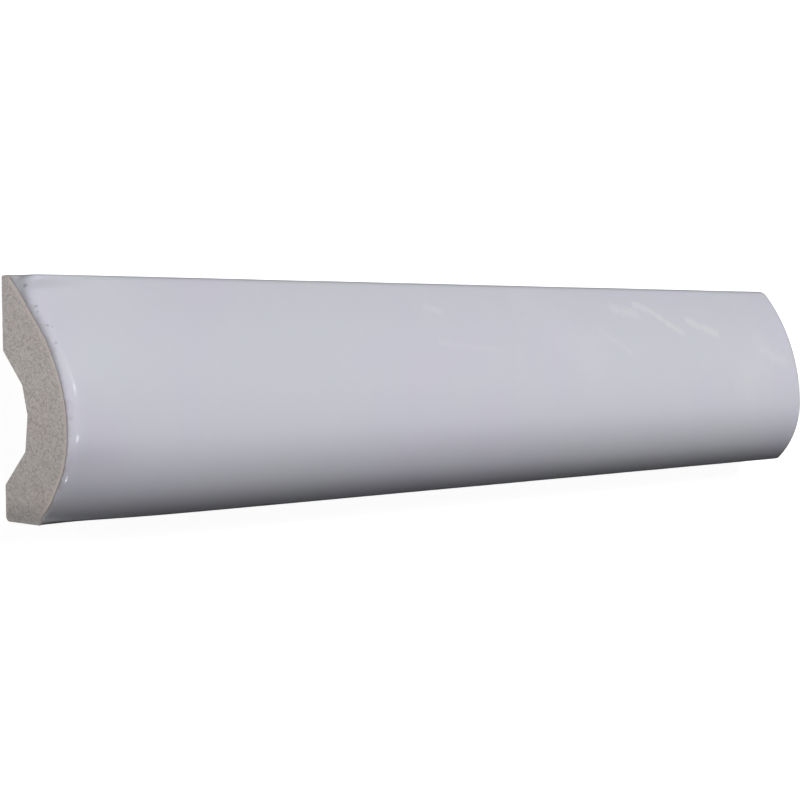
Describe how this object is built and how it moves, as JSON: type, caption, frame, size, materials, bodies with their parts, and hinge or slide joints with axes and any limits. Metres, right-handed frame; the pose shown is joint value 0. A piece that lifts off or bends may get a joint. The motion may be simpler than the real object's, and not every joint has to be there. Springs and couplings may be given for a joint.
{
  "type": "ceramic trim tile",
  "caption": "Straight glazed ceramic rail trim with a rounded front, flat top and bottom edges and a keying groove in its bare clay back.",
  "frame": {"origin": "middle of the tile's outline on its flat back, which lies on the floor", "axes": "+X along the tile, +Y up the wall from the bottom edge to the narrow top edge, +Z out from the wall, which is up as it lies"},
  "size_m": [0.2, 0.035, 0.0144],
  "materials": {
    "glazed_clay": "glossy pale lavender-white glaze on the front, bare grey-beige clay on the ends, back and bottom"
  },
  "bodies": {
    "root": {"trim_tile": "glazed_clay"}
  },
  "joints": []
}
